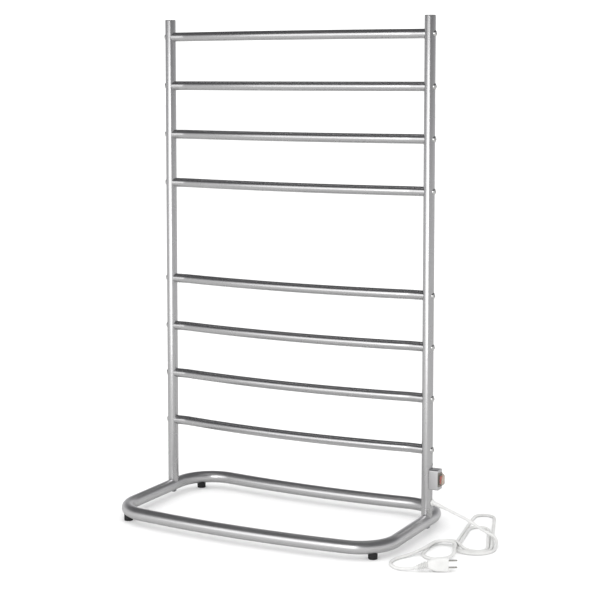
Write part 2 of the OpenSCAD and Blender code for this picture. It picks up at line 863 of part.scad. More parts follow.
module plug_body() {
    shoulder = 14;
    color("white") rack() at_plug() difference() {
        hull() {
            translate([-plug_len / 2 + shoulder, 0, 0]) x_block(plug_t, plug_h, 5, plug_len - shoulder);
            translate([-plug_len / 2, 0, 0]) x_block(plug_neck, plug_neck + 2, 5, shoulder);
        }
        for (s = [-1, 1])
            translate([plug_len / 2 - blade_root, 0, s * blade_step / 2])
                x_block(blade_w + 2 * slack, blade_t + 2 * slack, slack, blade_root + past);
    }
}

module plug_blades() {
    color("gold") rack() at_plug() for (s = [-1, 1])
        translate([plug_len / 2 - blade_root, 0, s * blade_step / 2])
            x_block(blade_w, blade_t, 0.3, blade_root + blade_len);
}

left_post();
right_post();
left_post_cap();
right_post_cap();
rung(0);  // rung_1
rung(1);  // rung_2
rung(2);  // rung_3
rung(3);  // rung_4
rung(4);  // rung_5
rung(5);  // rung_6
rung(6);  // rung_7
rung(7);  // rung_8
left_rung_inserts();
right_rung_inserts();
left_saddle_washers();
right_saddle_washers();
left_rung_screws();
right_rung_screws();
base_frame();
left_foot_plug();
right_foot_plug();
left_base_bolt();
right_base_bolt();
foot_front_left();
foot_front_right();
foot_back_left();
foot_back_right();
foot_screws();
switch_housing();
switch_gasket();
switch_housing_screws();
switch_body();
switch_rocker();
rocker_pivot();
indicator_lamp();
switch_terminals();
splash_cover();
wiring_clip();
wiring_clip_screw();
cord_gland();
heating_cable();
return_wire();
thermal_cutout();
wire_crimps();
supply_wires();
power_cord_lead();
cord_hank();
power_cord_tail();
plug_strain_relief();
plug_body();
plug_blades();
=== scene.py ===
"""Towel warmer rack: the finished look of every piece round its fixed frame."""

import math

import bmesh
import bpy
from bpy.props import FloatProperty, FloatVectorProperty, IntProperty, PointerProperty
from mathutils import Matrix, Vector


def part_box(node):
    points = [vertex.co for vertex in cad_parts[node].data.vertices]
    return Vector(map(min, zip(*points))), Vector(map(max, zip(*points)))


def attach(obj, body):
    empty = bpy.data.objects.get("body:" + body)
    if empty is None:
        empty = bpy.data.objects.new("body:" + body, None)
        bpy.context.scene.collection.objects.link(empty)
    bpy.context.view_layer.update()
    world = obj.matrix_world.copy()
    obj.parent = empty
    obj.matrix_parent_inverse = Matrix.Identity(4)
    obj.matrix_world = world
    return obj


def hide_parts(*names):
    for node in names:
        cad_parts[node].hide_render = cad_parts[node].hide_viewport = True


bl_info = {
    "name": "Towel warmer rack",
    "version": (1, 0, 0),
    "blender": (4, 5, 0),
    "location": "View3D > Sidebar > Rack",
    "description": "Builds the pieces of a heated towel rack and the studio round it",
    "category": "Object",
}

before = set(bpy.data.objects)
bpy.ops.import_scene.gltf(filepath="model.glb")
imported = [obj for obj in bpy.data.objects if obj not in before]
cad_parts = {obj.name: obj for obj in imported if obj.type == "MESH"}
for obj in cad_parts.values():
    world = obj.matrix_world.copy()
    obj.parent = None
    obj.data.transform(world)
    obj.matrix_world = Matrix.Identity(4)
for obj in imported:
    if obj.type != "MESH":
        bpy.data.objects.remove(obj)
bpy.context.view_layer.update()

MM = 0.001
RUNG_NODES = [f"rung_{i}" for i in range(1, 9)]
FOOT_NODES = ["foot_front_left", "foot_front_right", "foot_back_left", "foot_back_right"]


def middle(node):
    """Middle of a node's box."""
    low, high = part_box(node)
    return (low + high) / 2


# Main lines of the frame
LEFT_AXIS = middle("left_post")
RIGHT_AXIS = middle("right_post")
HALF_GAP = (RIGHT_AXIS.x - LEFT_AXIS.x) / 2
CENTRE = Vector(((LEFT_AXIS.x + RIGHT_AXIS.x) / 2, RIGHT_AXIS.y, 0))
POST_RADIUS = 11 * MM
POST_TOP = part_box("left_post")[1].z
RUNG_RADIUS = 9.5 * MM
RUNG_HEIGHTS = [middle(name).z for name in RUNG_NODES]
RUNG_PITCH = RUNG_HEIGHTS[0] - RUNG_HEIGHTS[1]
BASE_RADIUS = 12.5 * MM
BASE_HEIGHT = middle("base_frame").z


def at(x, y, z):
    """Place given in millimetres from the floor midway between the posts."""
    return CENTRE + Vector((x, y, z)) * MM


# ---------------------------------------------------------------- settings


class RackSizes(bpy.types.PropertyGroup):
    """Sizes that the frame's boxes don't give."""

    rung_bow: FloatProperty(
        name="Rung bow", description="Radius of a rung's long forward bow",
        default=1.65, min=0.5, unit="LENGTH")
    rung_bend: FloatProperty(
        name="Rung bend", description="Radius of the small bend near a rung's end",
        default=0.06, min=0.02, unit="LENGTH")
    rung_stub: FloatProperty(
        name="Rung end", description="Straight end of a rung outside the post",
        default=0.022, min=0.005, unit="LENGTH")
    rung_places: IntProperty(
        name="Rung places", description="Places for rungs, the empty one included",
        default=9, min=2)
    base_corner: FloatProperty(
        name="Base corner", description="Radius of the base loop's corners",
        default=0.075, min=0.03, unit="LENGTH")
    base_bow: FloatProperty(
        name="Base bow", description="Radius of the base loop's long bows",
        default=1.9, min=0.5, unit="LENGTH")
    edge: FloatProperty(
        name="Broken edge", description="Width of the rounding on cut tube ends",
        default=0.0007, min=0.0002, unit="LENGTH")
    lead_diameter: FloatProperty(
        name="Lead diameter", description="Outer diameter of the mains lead",
        default=0.006, min=0.003, unit="LENGTH")


class RackFinishes(bpy.types.PropertyGroup):
    """Colours and finishes of the rack."""

    steel: FloatVectorProperty(
        name="Satin steel", description="Colour of the satin tubes",
        default=(0.66, 0.657, 0.66), size=3, min=0, max=1, subtype="COLOR")
    steel_roughness: FloatProperty(
        name="Satin", description="Roughness of the satin tubes",
        default=0.27, min=0.05, max=1, subtype="FACTOR")
    rubber: FloatVectorProperty(
        name="Rubber", description="Colour of the feet and seals",
        default=(0.012, 0.012, 0.013), size=3, min=0, max=1, subtype="COLOR")
    rocker: FloatVectorProperty(
        name="Rocker", description="Colour of the rocker",
        default=(0.95, 0.03, 0.015), size=3, min=0, max=1, subtype="COLOR")
    cover: FloatVectorProperty(
        name="Cover", description="Tint of the splash cover",
        default=(0.99, 0.90, 0.82), size=3, min=0, max=1, subtype="COLOR")
    lead: FloatVectorProperty(
        name="Lead", description="Colour of the lead, gland and plug",
        default=(0.65, 0.65, 0.64), size=3, min=0, max=1, subtype="COLOR")
    floor: FloatVectorProperty(
        name="Floor", description="Colour of the studio floor",
        default=(0.92, 0.92, 0.92), size=3, min=0, max=1, subtype="COLOR")


# ---------------------------------------------------------------- materials


def shader(name, **values):
    """New material with its own Principled shader; values are set on the shader's sockets."""
    material = bpy.data.materials.new(name)
    material.use_nodes = True
    body = material.node_tree.nodes["Principled BSDF"]
    for key, value in values.items():
        body.inputs[key.replace("_", " ")].default_value = value
    return material, material.node_tree, body


def paint(colour):
    return (colour[0], colour[1], colour[2], 1)


def grain(tree, stretch, detail=4, roughness=0.6):
    """Noise on the piece's own coordinates, drawn out by stretch, as its factor socket."""
    place = tree.nodes.new("ShaderNodeTexCoord")
    mapping = tree.nodes.new("ShaderNodeMapping")
    mapping.inputs["Scale"].default_value = stretch
    noise = tree.nodes.new("ShaderNodeTexNoise")
    noise.inputs["Scale"].default_value = 1
    noise.inputs["Detail"].default_value = detail
    noise.inputs["Roughness"].default_value = roughness
    tree.links.new(place.outputs["Object"], mapping.inputs["Vector"])
    tree.links.new(mapping.outputs["Vector"], noise.inputs["Vector"])
    return noise.outputs["Fac"]


def spread(tree, factor, low, high):
    """Maps a factor's useful middle, 0.3 to 0.7, on low to high."""
    ranged = tree.nodes.new("ShaderNodeMapRange")
    ranged.inputs["From Min"].default_value = 0.3
    ranged.inputs["From Max"].default_value = 0.7
    ranged.inputs["To Min"].default_value = low
    ranged.inputs["To Max"].default_value = high
    tree.links.new(factor, ranged.inputs["Value"])
    return ranged.outputs["Result"]


def tint(tree, body, factor, dark, light):
    """Colours the shader between two shades by a factor."""
    mix = tree.nodes.new("ShaderNodeMix")
    mix.data_type = "RGBA"
    mix.inputs["A"].default_value = paint(dark)
    mix.inputs["B"].default_value = paint(light)
    tree.links.new(factor, mix.inputs["Factor"])
    tree.links.new(mix.outputs["Result"], body.inputs["Base Color"])


def relief(tree, body, factor, depth, strength=1.0):
    """Raises the surface by depth metres along a factor."""
    bump = tree.nodes.new("ShaderNodeBump")
    bump.inputs["Distance"].default_value = depth
    bump.inputs["Strength"].default_value = strength
    tree.links.new(factor, bump.inputs["Height"])
    tree.links.new(bump.outputs["Normal"], body.inputs["Normal"])


def shade(colour, amount):
    return tuple(min(1.0, c * amount) for c in colour)


def satin_steel(name, colour, roughness, stretch, depth=0.000005):
    """Steel with fine polishing marks, short across the stretch and long along it."""
    material, tree, body = shader(name, Metallic=1.0)
    marks = spread(tree, grain(tree, stretch, 5, 0.7), 0, 1)
    tint(tree, body, marks, shade(colour, 0.965), shade(colour, 1.03))
    clouds = grain(tree, (9, 9, 9), 2)
    tree.links.new(spread(tree, clouds, roughness * 0.94, roughness * 1.08), body.inputs["Roughness"])
    relief(tree, body, marks, depth, 0.35)
    return material


def moulded(name, colour, roughness, scale=900, depth=0.00003, **values):
    """Moulded plastic or rubber with a fine skin and slightly uneven colour."""
    material, tree, body = shader(name, **values)
    skin = grain(tree, (scale, scale, scale), 3)
    clouds = spread(tree, grain(tree, (35, 35, 35), 3), 0, 1)
    tint(tree, body, clouds, shade(colour, 0.9), shade(colour, 1.06))
    tree.links.new(spread(tree, skin, roughness * 0.85, roughness * 1.15), body.inputs["Roughness"])
    relief(tree, body, skin, depth, 0.6)
    return material


def finishes():
    """Every material of the rack by its short name; made once and shared."""
    if "Satin steel, rungs" in bpy.data.materials:
        return {m["finish"]: m for m in bpy.data.materials if "finish" in m}
    f = bpy.context.scene.rack_finishes
    steel, rough = tuple(f.steel), f.steel_roughness
    made = {
        "rung": satin_steel("Satin steel, rungs", steel, rough, (1500, 60, 60)),
        "post": satin_steel("Satin steel, posts", steel, rough, (60, 60, 1500)),
        # The base loop is the posts' own steel with its colour painted 1.2 times lighter: painted light
        # standing in for the brighter light the loop catches
        "base": satin_steel("Satin steel, base loop", shade(steel, 1.2), rough * 1.15, (500, 500, 500)),
        "cap": satin_steel("Satin steel, end caps", steel, rough, (900, 60, 900)),
        "box": satin_steel("Brushed steel, switch box", shade(steel, 1.1), 0.36, (420, 420, 14), 0.00004),
        "bright": satin_steel("Polished steel, screws", (0.78, 0.78, 0.77), 0.13, (400, 400, 400), 0.000004),
        "zinc": satin_steel("Zinc plate", (0.5, 0.51, 0.53), 0.38, (300, 300, 300)),
        "brass": satin_steel("Brass", (0.75, 0.58, 0.30), 0.3, (300, 300, 300)),
        "blade": satin_steel("Plug blades", (0.82, 0.80, 0.76), 0.25, (120, 700, 120)),
        "rubber": moulded("Black rubber", tuple(f.rubber), 0.72, 700, 0.00006),
        "black": moulded("Black moulding", (0.014, 0.014, 0.015), 0.42, 1400),
        "rocker": moulded("Red rocker", tuple(f.rocker), 0.22, 900, 0.00001, Coat_Weight=0.5),
        "lead": moulded("White vinyl", tuple(f.lead), 0.42, 500, 0.00003),
        "plug": moulded("White vinyl, plug", shade(tuple(f.lead), 1.04), 0.46, 900, 0.00003),
        "nylon": moulded("Natural nylon", (0.80, 0.78, 0.72), 0.5),
        "silicone": moulded("Red-brown silicone", (0.36, 0.07, 0.04), 0.55),
        "blue": moulded("Blue wire", (0.03, 0.08, 0.35), 0.45),
        "brown": moulded("Brown wire", (0.18, 0.08, 0.04), 0.45),
        "sleeve": moulded("Woven sleeve", (0.80, 0.80, 0.77), 0.8, 2500, 0.0001),
        "lamp": moulded("Neon glass", (0.95, 0.52, 0.25), 0.08, Transmission_Weight=0.7),
        "cover": clear_vinyl(tuple(f.cover)),
    }
    for key, material in made.items():
        material["finish"] = key
    return made


def clear_vinyl(colour):
    """Soft clear vinyl, a little yellow and cloudy."""
    material, tree, body = shader(
        "Clear vinyl", Transmission_Weight=0.93, IOR=1.2, Specular_IOR_Level=0.5)
    haze = grain(tree, (120, 120, 120), 3)
    tint(tree, body, spread(tree, haze, 0, 1), shade(colour, 0.94), shade(colour, 1.04))
    tree.links.new(spread(tree, haze, 0.07, 0.13), body.inputs["Roughness"])
    relief(tree, body, haze, 0.0001, 0.4)
    return material


# ---------------------------------------------------------------- making meshes


def placed(name, mesh):
    """Object with the given mesh, put in the scene."""
    piece = bpy.data.objects.new(name, mesh)
    bpy.context.scene.collection.objects.link(piece)
    return piece


def new_piece(name, points, faces, material, sharp=40):
    """Piece with outward faces, smooth but for edges sharper than the given angle."""
    mesh = bpy.data.meshes.new(name)
    mesh.from_pydata([tuple(p) for p in points], [], faces)
    piece = placed(name, mesh)
    tidy(piece, sharp)
    mesh.materials.append(material)
    return piece


def tidy(piece, sharp=40):
    """Closes doubled points, turns faces outwards and sets smooth shading."""
    shape = bmesh.new()
    shape.from_mesh(piece.data)
    bmesh.ops.remove_doubles(shape, verts=shape.verts, dist=1e-6)
    bmesh.ops.recalc_face_normals(shape, faces=shape.faces)
    shape.to_mesh(piece.data)
    shape.free()
    piece.data.shade_smooth()
    piece.data.set_sharp_from_angle(angle=math.radians(sharp))


def skin(rings, closed=False, first=0):
    """Points and faces of a skin drawn over equal rings; an open one has its ends capped."""
    n = len(rings[0])
    points = [p for ring in rings for p in ring]
    count = len(rings) if closed else len(rings) - 1
    faces = []
    for i in range(count):
        a, b = i * n, (i + 1) % len(rings) * n
        for k in range(n):
            m = (k + 1) % n
            faces.append([first + a + k, first + a + m, first + b + m, first + b + k])
    if not closed:
        faces.append([first + k for k in reversed(range(n))])
        faces.append([first + (len(rings) - 1) * n + k for k in range(n)])
    return points, faces


def several(parts):
    """One list of points and faces out of several lists of rings."""
    points, faces = [], []
    for rings in parts:
        more, skins = skin(rings, first=len(points))
        points += more
        faces += skins
    return points, faces


def circle(centre, across, up, radius, n):
    """Ring of n points round centre, in the plane of two unit vectors."""
    turns = [2 * math.pi * k / n for k in range(n)]
    return [centre + across * (radius * math.cos(t)) + up * (radius * math.sin(t)) for t in turns]


def turned(centre, axis, profile, n=48):
    """Rings of a turned shape: profile gives steps along the axis and radii."""
    axis = axis.normalized()
    across = axis.orthogonal().normalized()
    up = axis.cross(across)
    return [circle(centre + axis * step, across, up, max(radius, 1e-5), n) for step, radius in profile]


def along(points, radius, n=16, closed=False):
    """Rings round a line of points, carried along it without twist."""
    count = len(points)
    ways = []
    for i in range(count):
        back = points[i - 1] if i or closed else points[0]
        ahead = points[(i + 1) % count] if i < count - 1 or closed else points[-1]
        ways.append((ahead - back).normalized())
    up = Vector((0, 0, 1))
    rings = []
    for point, way in zip(points, ways):
        across = way.cross(up) if closed or abs(way.z) < 0.9 else way.orthogonal()
        across.normalize()
        rings.append(circle(point, across, across.cross(way), radius, n))
    return rings


def rounded_box(width, height, radius, corner=6):
    """Outline of a rounded rectangle in y and z."""
    outline = []
    for cy, cz, start in ((1, 1, 0), (-1, 1, 90), (-1, -1, 180), (1, -1, 270)):
        for k in range(corner + 1):
            t = math.radians(start + 90 * k / corner)
            y = cy * (width / 2 - radius) + radius * math.cos(t)
            z = cz * (height / 2 - radius) + radius * math.sin(t)
            outline.append((y, z))
    return outline


def from_frame(node, name, material, bevel=0.0, sharp=30):
    """Copy of a CAD node with joined faces, broken edges and smooth curves."""
    piece = placed(name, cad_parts[node].data.copy())
    shape = bmesh.new()
    shape.from_mesh(piece.data)
    bmesh.ops.remove_doubles(shape, verts=shape.verts, dist=2e-6)
    bmesh.ops.dissolve_limit(shape, angle_limit=math.radians(1), verts=shape.verts, edges=shape.edges)
    if bevel:
        limit = math.radians(sharp)
        inner = [edge for edge in shape.edges if len(edge.link_faces) == 2]
        edges = [edge for edge in inner if edge.calc_face_angle() > limit]
        bmesh.ops.bevel(
            shape, geom=edges, offset=bevel, segments=2, affect="EDGES", clamp_overlap=True, profile=0.6)
    shape.to_mesh(piece.data)
    shape.free()
    piece.data.shade_smooth()
    piece.data.set_sharp_from_angle(angle=math.radians(sharp))
    piece.data.materials.clear()
    piece.data.materials.append(material)
    return piece


def settle(piece, slot, *nodes, body="rack"):
    """Puts a piece on its body in place of the CAD nodes that it stands for."""
    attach(piece, body)
    if nodes:
        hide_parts(*nodes)
    return piece


# ---------------------------------------------------------------- geometry nodes


def new_tree(name, *inputs):
    """Node tree that takes a geometry, the given inputs and a material, and gives a geometry."""
    tree = bpy.data.node_groups.new(name, "GeometryNodeTree")
    for label, kind in (("Geometry", "Geometry"), *inputs, ("Material", "Material")):
        tree.interface.new_socket(label, in_out="INPUT", socket_type="NodeSocket" + kind)
    tree.interface.new_socket("Geometry", in_out="OUTPUT", socket_type="NodeSocketGeometry")
    return tree


def ladder_tree():
    """Tree that repeats a piece down the posts at an even pitch and leaves one place empty."""
    tree = new_tree(
        "Ladder of pieces", ("Piece", "Object"), ("Top height", "Float"), ("Pitch", "Float"),
        ("Places", "Int"), ("Empty place", "Int"))
    make, join = tree.nodes.new, tree.links.new
    given, result = make("NodeGroupInput"), make("NodeGroupOutput")
    start, step = make("ShaderNodeCombineXYZ"), make("ShaderNodeCombineXYZ")
    down = make("ShaderNodeMath")
    down.operation = "MULTIPLY"
    down.inputs[1].default_value = -1
    line = make("GeometryNodeMeshLine")
    index = make("GeometryNodeInputIndex")
    same = make("FunctionNodeCompare")
    same.data_type = "INT"
    same.operation = "EQUAL"
    leave = make("GeometryNodeDeleteGeometry")
    piece = make("GeometryNodeObjectInfo")
    put = make("GeometryNodeInstanceOnPoints")
    real = make("GeometryNodeRealizeInstances")
    paint_on = make("GeometryNodeSetMaterial")
    join(given.outputs["Top height"], start.inputs["Z"])
    join(given.outputs["Pitch"], down.inputs[0])
    join(down.outputs[0], step.inputs["Z"])
    join(given.outputs["Places"], line.inputs["Count"])
    join(start.outputs[0], line.inputs["Start Location"])
    join(step.outputs[0], line.inputs["Offset"])
    join(line.outputs[0], leave.inputs["Geometry"])
    join(index.outputs[0], same.inputs[2])
    join(given.outputs["Empty place"], same.inputs[3])
    join(same.outputs[0], leave.inputs["Selection"])
    join(given.outputs["Piece"], piece.inputs["Object"])
    join(leave.outputs[0], put.inputs["Points"])
    join(piece.outputs["Geometry"], put.inputs["Instance"])
    join(put.outputs[0], real.inputs[0])
    join(real.outputs[0], paint_on.inputs["Geometry"])
    join(given.outputs["Material"], paint_on.inputs["Material"])
    join(paint_on.outputs[0], result.inputs[0])
    return tree


def rib_tree():
    """Tree that sets rings along +X, each a little smaller than the one before."""
    tree = new_tree(
        "Row of ribs", ("Ribs", "Int"), ("Spacing", "Float"), ("First radius", "Float"),
        ("Last radius", "Float"), ("Rib radius", "Float"))
    make, join = tree.nodes.new, tree.links.new
    given, result = make("NodeGroupInput"), make("NodeGroupOutput")
    step = make("ShaderNodeCombineXYZ")
    line = make("GeometryNodeMeshLine")
    ring = make("GeometryNodeCurvePrimitiveCircle")
    ring.inputs["Resolution"].default_value = 32
    ring.inputs["Radius"].default_value = 1
    section = make("GeometryNodeCurvePrimitiveCircle")
    section.inputs["Resolution"].default_value = 8
    turn = make("GeometryNodeTransform")
    turn.inputs["Rotation"].default_value = (0, math.pi / 2, 0)
    last = make("ShaderNodeMath")
    last.operation = "SUBTRACT"
    last.inputs[1].default_value = 1
    index = make("GeometryNodeInputIndex")
    size = make("ShaderNodeMapRange")
    put = make("GeometryNodeInstanceOnPoints")
    real = make("GeometryNodeRealizeInstances")
    tube = make("GeometryNodeCurveToMesh")
    paint_on = make("GeometryNodeSetMaterial")
    join(given.outputs["Spacing"], step.inputs["X"])
    join(given.outputs["Ribs"], line.inputs["Count"])
    join(step.outputs[0], line.inputs["Offset"])
    join(ring.outputs[0], turn.inputs["Geometry"])
    join(index.outputs[0], size.inputs["Value"])
    join(given.outputs["Ribs"], last.inputs[0])
    join(last.outputs[0], size.inputs["From Max"])
    join(given.outputs["First radius"], size.inputs["To Min"])
    join(given.outputs["Last radius"], size.inputs["To Max"])
    join(line.outputs[0], put.inputs["Points"])
    join(turn.outputs[0], put.inputs["Instance"])
    join(size.outputs[0], put.inputs["Scale"])
    join(put.outputs[0], real.inputs[0])
    join(real.outputs[0], tube.inputs["Curve"])
    join(given.outputs["Rib radius"], section.inputs["Radius"])
    join(section.outputs[0], tube.inputs["Profile Curve"])
    join(tube.outputs[0], paint_on.inputs["Geometry"])
    join(given.outputs["Material"], paint_on.inputs["Material"])
    join(paint_on.outputs[0], result.inputs[0])
    return tree


def grown(name, tree, sharp=40, **inputs):
    """Plain mesh that a tree makes with the given inputs; underscores stand for spaces."""
    host = placed(name + "_host", bpy.data.meshes.new(name + "_host"))
    modifier = host.modifiers.new("Make", "NODES")
    modifier.node_group = tree
    for item in tree.interface.items_tree:
        key = item.name.replace(" ", "_")
        if item.in_out == "INPUT" and key in inputs:
            modifier[item.identifier] = inputs[key]
    depsgraph = bpy.context.evaluated_depsgraph_get()
    mesh = bpy.data.meshes.new_from_object(host.evaluated_get(depsgraph))
    bpy.data.objects.remove(host)
    piece = placed(name, mesh)
    tidy(piece, sharp)
    return piece


def down_the_posts(name, pattern, material, sharp=40):
    """Repeats a pattern piece, drawn at height 0, at every rung; the pattern is used up."""
    sizes = bpy.context.scene.rack_sizes
    tree = bpy.data.node_groups.get("Ladder of pieces") or ladder_tree()
    empty = next(i for i in range(1, 8) if RUNG_HEIGHTS[i - 1] - RUNG_HEIGHTS[i] > 1.5 * RUNG_PITCH)
    piece = grown(
        name, tree, sharp, Piece=pattern, Top_height=RUNG_HEIGHTS[0], Pitch=RUNG_PITCH,
        Places=sizes.rung_places, Empty_place=empty, Material=material)
    bpy.data.objects.remove(pattern)
    return piece


# ---------------------------------------------------------------- lead

# Millimetres from the floor midway between the posts
LEAD_DROP = (
    (326.5, 0, 53.8), (343, 0, 48.5), (359, 0, 43), (375, 1, 37), (391, 1.5, 30), (405, 2, 21.5))
LEAD_TAIL = (
    (340, -138, 9), (334, -154, 6.2), (325, -169, 3.6), (316, -184, 3), (312, -200, 3),
    (313, -217, 3), (321, -232, 3), (334, -242, 3.1), (348, -246, 3.9), (360, -244.6, 5.6),
    (371.1, -239.4, 7.2))
# Round places that the lead winds past: x, y, bend radius, turn to left or right, heights
LEAD_STOPS = (
    (414, 2, 0, -1, (15.8,)),
    (421, -24, 26, -1, (14.5, 10.5, 5)),
    (418, -62, 39, -1, (3,)),
    (364, 133.4, 20.6, -1, (3,)),
    (418, -62, 32, -1, (3,)),
    (384.2, 50, 19.5, -1, (3,)),
    (418, -62, 25, -1, (3, 3, 6.5)),
    (366, -86, 29, 1, (9.8, 9.5, 6.5, 3.8, 3)),
    (374, -134, 29, 1, (3, 3, 4, 8)),
    (366, -86, 22, 1, (9.4, 9.3, 8.4, 9)),
    (343, -122, 0, 1, (9.2,)),
)


def wound(stops, step):
    """Line that winds past a row of round stops, straight between them."""
    legs = []
    for (x0, y0, r0, turn0, _), (x1, y1, r1, turn1, _) in zip(stops, stops[1:]):
        gap = math.hypot(x1 - x0, y1 - y0)
        legs.append(math.atan2(y1 - y0, x1 - x0) + math.asin((turn0 * r0 - turn1 * r1) / gap))
    line = []
    for i, (x, y, radius, turn, heights) in enumerate(stops):
        if radius == 0:
            line.append(Vector((x, y, heights[0])))
            continue
        first = legs[i - 1] - turn * math.pi / 2
        sweep = (legs[i] - legs[i - 1]) * turn % (2 * math.pi)
        count = max(2, round(radius * sweep / step))
        for k in range(count + 1):
            a = first + turn * sweep * k / count
            place = k / count * (len(heights) - 1)
            j = min(int(place), max(0, len(heights) - 2))
            rise = heights[min(j + 1, len(heights) - 1)] - heights[j]
            z = heights[j] + rise * (place - j)
            line.append(Vector((x + radius * math.cos(a), y + radius * math.sin(a), z)))
    return line


def evenly(line, step):
    """The same line with points an equal distance apart."""
    far = [0.0]
    for a, b in zip(line, line[1:]):
        far.append(far[-1] + (b - a).length)
    count = round(far[-1] / step)
    out, i = [], 0
    for k in range(count + 1):
        want = far[-1] * k / count
        while i < len(line) - 2 and far[i + 1] < want:
            i += 1
        share = (want - far[i]) / max(far[i + 1] - far[i], 1e-9)
        out.append(line[i].lerp(line[i + 1], share))
    return out


def eased(line, rounds, height_only=False):
    """The line after its points have settled between their neighbours; both ends stay."""
    for _ in range(rounds):
        before = [p.copy() for p in line]
        for i in range(3, len(line) - 3):
            calm = (before[i - 1] + 2 * before[i] + before[i + 1]) / 4
            if height_only:
                calm.x, calm.y = before[i].x, before[i].y
            line[i] = calm
    return line


def lead_line():
    """The whole mains lead from its gland to its plug, in metres."""
    drop = [Vector(p) for p in LEAD_DROP]
    tail = [Vector(p) for p in LEAD_TAIL]
    line = evenly(drop + wound(LEAD_STOPS, 2.5) + tail, 3)
    line = evenly(eased(eased(line, 7), 25, height_only=True), 3.5)
    return [at(*p) for p in line]


# ---------------------------------------------------------------- pieces


class RACK_OT_stage(bpy.types.Operator):
    """Make the camera, the pale floor and the soft studio light"""

    bl_idname = "rack.stage"
    bl_label = "Studio"

    def execute(self, context):
        scene = context.scene
        camera = bpy.data.cameras.new("Camera")
        camera.lens = 92.4
        camera.sensor_width = 36
        camera.shift_x = 0.0005
        camera.shift_y = -0.1573
        camera.clip_end = 50
        eye = bpy.data.objects.new("Camera", camera)
        eye.location = at(1449, -2751, 894)
        eye.rotation_euler = (math.radians(90 - 4.78), 0, math.radians(27.59))
        scene.collection.objects.link(eye)
        scene.camera = eye
        scene.view_settings.view_transform = "Standard"
        self.floor(context)
        self.lights()
        self.surround(scene)
        return {"FINISHED"}

    def floor(self, context):
        """Pale floor; what the tubes mirror of it is a little darker."""
        colour = tuple(context.scene.rack_finishes.floor)
        material, tree, body = shader("Studio floor", Roughness=0.9, Specular_IOR_Level=0.1)
        path = tree.nodes.new("ShaderNodeLightPath")
        mix = tree.nodes.new("ShaderNodeMix")
        mix.data_type = "RGBA"
        mix.inputs["A"].default_value = paint(colour)
        mix.inputs["B"].default_value = paint(shade(colour, 0.5))
        tree.links.new(path.outputs["Is Glossy Ray"], mix.inputs["Factor"])
        tree.links.new(mix.outputs["Result"], body.inputs["Base Color"])
        reach = 60
        corners = [(-reach, -reach, 0), (reach, -reach, 0), (reach, reach, 0), (-reach, reach, 0)]
        floor = new_piece("studio_floor", corners, [[0, 1, 2, 3]], material)

    def lamp(self, name, place, aim, size, bright):
        """Softbox of a given brightness that the camera doesn't see."""
        light = bpy.data.lights.new(name, "AREA")
        light.shape = "RECTANGLE"
        light.size, light.size_y = size
        light.energy = bright * math.pi * size[0] * size[1]
        lamp = bpy.data.objects.new(name, light)
        lamp.location = place
        way = Vector(aim) - Vector(place)
        lamp.rotation_euler = way.to_track_quat("-Z", "Y").to_euler()
        lamp.visible_camera = False
        bpy.context.scene.collection.objects.link(lamp)

    def lights(self):
        self.lamp("Front softbox", (-0.6, -3.4, 1.35), (0, 0, 1.35), (3.8, 2.5), 0.95)
        self.lamp("Front strip", (0.5, -3.3, 1.3), (0.2, 0, 1.3), (1.5, 2.4), 1.4)

    def surround(self, scene):
        """Even white air, which tubes mirror as a room that darkens towards its ceiling."""
        world = bpy.data.worlds.new("Studio air")
        world.use_nodes = True
        scene.world = world
        tree = world.node_tree
        tree.nodes.clear()
        make, join = tree.nodes.new, tree.links.new
        place = make("ShaderNodeTexCoord")
        split = make("ShaderNodeSeparateXYZ")
        ramp = make("ShaderNodeValToRGB")
        ramp.color_ramp.elements[0].position = 0.1
        ramp.color_ramp.elements[0].color = (0.6, 0.6, 0.61, 1)
        ramp.color_ramp.elements[1].position = 0.5
        ramp.color_ramp.elements[1].color = (0.075, 0.075, 0.08, 1)
        room, white = make("ShaderNodeBackground"), make("ShaderNodeBackground")
        white.inputs["Color"].default_value = (1, 1, 1, 1)
        white.inputs["Strength"].default_value = 1.3
        path = make("ShaderNodeLightPath")
        mix = make("ShaderNodeMixShader")
        out = make("ShaderNodeOutputWorld")
        join(place.outputs["Generated"], split.inputs[0])
        join(split.outputs["Z"], ramp.inputs["Fac"])
        join(ramp.outputs["Color"], room.inputs["Color"])
        join(path.outputs["Is Glossy Ray"], mix.inputs["Fac"])
        join(white.outputs[0], mix.inputs[1])
        join(room.outputs[0], mix.inputs[2])
        join(mix.outputs[0], out.inputs["Surface"])


